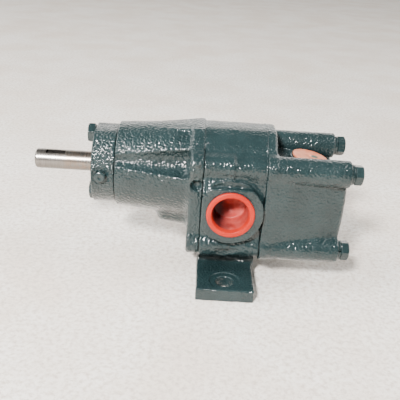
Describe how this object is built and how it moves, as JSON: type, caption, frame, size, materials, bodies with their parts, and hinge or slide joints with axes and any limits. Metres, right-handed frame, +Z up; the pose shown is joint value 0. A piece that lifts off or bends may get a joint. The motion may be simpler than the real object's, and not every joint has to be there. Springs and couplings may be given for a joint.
{
  "type": "gear pump",
  "caption": "Foot-mounted external gear pump with a keyed drive shaft, opposed side ports, a bearing bracket and a rear cover that holds a relief valve.",
  "frame": {"origin": "middle of the foot's underside, straight below the ports' axis", "axes": "+Z up; -X along the drive shaft, towards its coupling end; -Y out of the suction port"},
  "size_m": [0.2569, 0.1286, 0.1241],
  "materials": {
    "casting_paint": "glossy dark grey-green enamel over cast iron",
    "fastener_paint": "glossy dark grey-green enamel over steel",
    "bare_steel": "ground, bare",
    "gear_steel": "ground and oiled",
    "spring_steel": "drawn, oiled",
    "bronze": "sintered bronze",
    "plug_plastic": "soft moulded, slightly translucent orange-red",
    "seal_rubber": "moulded black",
    "seal_ceramic": "lapped",
    "seal_carbon": "lapped carbon graphite",
    "gasket": "oiled gasket paper"
  },
  "bodies": {
    "housing": {"pump_body": "casting_paint", "bearing_bracket": "casting_paint", "front_cap": "casting_paint", "rear_cover": "casting_paint", "cap_gasket": "gasket", "front_body_gasket": "gasket", "rear_body_gasket": "gasket", "cover_bolt_1": "fastener_paint", "cover_bolt_2": "fastener_paint", "cover_bolt_3": "fastener_paint", "cover_bolt_4": "fastener_paint", "cover_bolt_washer_1": "fastener_paint", "cover_bolt_washer_2": "fastener_paint", "cover_bolt_washer_3": "fastener_paint", "cover_bolt_washer_4": "fastener_paint", "cap_bolt_upper": "fastener_paint", "cap_bolt_lower": "fastener_paint", "cap_side_plug": "fastener_paint", "front_dowel_1": "bare_steel", "front_dowel_2": "bare_steel", "rear_dowel_1": "bare_steel", "rear_dowel_2": "bare_steel", "drive_bush_front": "bronze", "drive_bush_rear": "bronze", "driven_bush_front": "bronze", "driven_bush_rear": "bronze", "bearing_outer_race": "gear_steel", "cap_oil_seal": "seal_rubber", "seal_seat_cup": "seal_rubber", "seal_seat": "seal_ceramic", "relief_valve_seat": "bare_steel", "relief_valve_spring": "spring_steel", "relief_lock_ring": "bare_steel"},
    "drive_train": {"drive_shaft": "bare_steel", "drive_gear": "gear_steel", "drive_gear_key": "bare_steel", "bearing_inner_race": "gear_steel", "shaft_snap_ring": "spring_steel", "seal_face": "seal_carbon", "seal_spring": "spring_steel", "seal_collar": "bare_steel"},
    "driven_train": {"driven_shaft": "bare_steel", "driven_gear": "gear_steel", "driven_gear_key": "bare_steel"},
    "ball_cage": {"bearing_balls_and_cage": "spring_steel"},
    "relief_poppet": {"relief_valve_poppet": "bare_steel"},
    "adjusting_screw": {"relief_adjusting_screw": "bare_steel"},
    "suction_plug": {"suction_port_plug": "plug_plastic"},
    "discharge_plug": {"discharge_port_plug": "plug_plastic"},
    "relief_plug": {"relief_port_plug": "plug_plastic"}
  },
  "joints": [
    {"name": "drive_spin", "type": "hinge", "parent": "housing", "child": "drive_train", "pos_m": [0, 0, 0.0857], "axis": [1, 0, 0], "continuous": true},
    {"name": "driven_spin", "type": "hinge", "parent": "housing", "child": "driven_train", "pos_m": [0, 0, 0.05014], "axis": [1, 0, 0], "continuous": true},
    {"name": "cage_spin", "type": "hinge", "parent": "housing", "child": "ball_cage", "pos_m": [0, 0, 0.0857], "axis": [1, 0, 0], "continuous": true},
    {"name": "poppet_lift", "type": "slide", "parent": "housing", "child": "relief_poppet", "axis": [0, 0, 1], "range_m": [0, 0.003], "stiffness_N_per_m": 2000, "springref_m": -0.004, "deforming": ["relief_valve_spring"]},
    {"name": "screw_turn", "type": "hinge", "parent": "housing", "child": "adjusting_screw", "pos_m": [0.0635, 0, 0.0857], "axis": [0, 0, 1], "range_deg": [-90, 90]},
    {"name": "suction_plug_pull", "type": "slide", "parent": "housing", "child": "suction_plug", "axis": [0, -1, 0], "range_m": [0, 0.03]},
    {"name": "discharge_plug_pull", "type": "slide", "parent": "housing", "child": "discharge_plug", "axis": [0, 1, 0], "range_m": [0, 0.03]},
    {"name": "relief_plug_pull", "type": "slide", "parent": "housing", "child": "relief_plug", "axis": [0.1564, 0, 0.9877], "range_m": [0, 0.015]}
  ],
  "couplings": [
    {"joint": "driven_spin", "follows": "drive_spin", "ratio": -1},
    {"joint": "cage_spin", "follows": "drive_spin", "ratio": 0.4}
  ]
}
